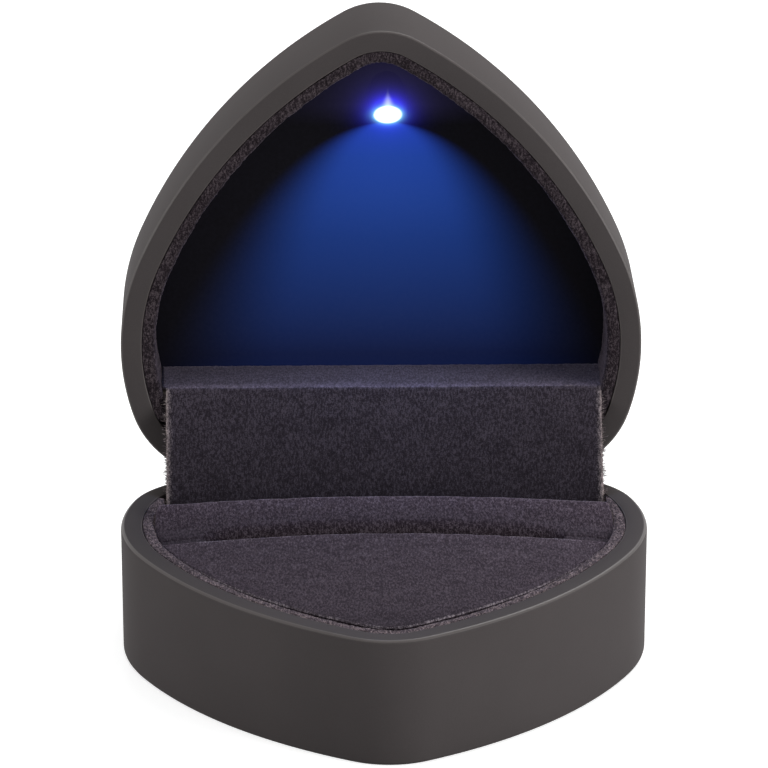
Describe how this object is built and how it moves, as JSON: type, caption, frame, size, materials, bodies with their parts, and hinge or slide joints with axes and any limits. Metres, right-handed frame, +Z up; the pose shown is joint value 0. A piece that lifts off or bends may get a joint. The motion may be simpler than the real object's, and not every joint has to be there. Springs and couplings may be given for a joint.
{
  "type": "ring display box",
  "caption": "Small ring box with a rounded heart-like plan, a hinged lid with a lamp, a velvet flap and a cushion with a ring slot.",
  "frame": {"origin": "middle of the base's flat underside, on the centre line, halfway between the tip and the hinge line", "axes": "+X to the right seen from the front, +Y from the tip to the hinge, +Z up"},
  "size_m": [0.072, 0.0835, 0.0817],
  "materials": {
    "soft_touch_plastic": "soft matt coating",
    "velvet": "short dark pile",
    "card": "plain",
    "foam": "open foam",
    "black_panel": "satin",
    "black_plastic": "moulded",
    "lamp_lens": "clear",
    "steel": "pressed",
    "spring_steel": "rolled",
    "cell_steel": "polished",
    "contact_brass": "plain",
    "board_green": "lacquered",
    "white_plastic": "moulded",
    "wire_red": "plain"
  },
  "bodies": {
    "base": {"base_shell": "soft_touch_plastic", "base_liner": "velvet", "cushion_cover": "velvet", "cushion_foam": "foam", "cushion_board": "card", "hinge_base_leaf": "steel", "hinge_pin": "steel", "hinge_spring": "spring_steel", "base_hinge_screws": "steel"},
    "lid": {"lid_shell": "soft_touch_plastic", "lid_liner": "velvet", "lid_panel": "black_panel", "ledge_card": "card", "ledge_velvet": "velvet", "hinge_lid_leaf": "steel", "lid_hinge_screws": "steel", "lamp": "lamp_lens", "lamp_holder": "black_plastic", "lamp_board": "board_green", "battery_holder": "black_plastic", "button_cells": "cell_steel", "battery_contacts": "contact_brass", "switch_body": "black_plastic", "wires": "wire_red"},
    "flap": {"flap_card": "card", "flap_velvet": "velvet"},
    "switch_plunger": {"switch_plunger": "white_plastic"}
  },
  "joints": [
    {"name": "lid_hinge", "type": "hinge", "parent": "base", "child": "lid", "pos_m": [0, 0.03194, 0.0179], "axis": [1, 0, 0], "range_deg": [0, 92]},
    {"name": "flap_fold", "type": "hinge", "parent": "lid", "child": "flap", "pos_m": [0, 0.03336, 0.02996], "axis": [1, 0, 0], "range_deg": [-38.5, 0]},
    {"name": "switch_slide", "type": "slide", "parent": "lid", "child": "switch_plunger", "axis": [0, 0.9994, -0.0349], "range_m": [0, 0.00121]}
  ],
  "couplings": [
    {"joint": "flap_fold", "follows": "lid_hinge", "ratio": -0.41739},
    {"joint": "switch_slide", "follows": "lid_hinge", "m_per_rad": 0.0007473}
  ]
}
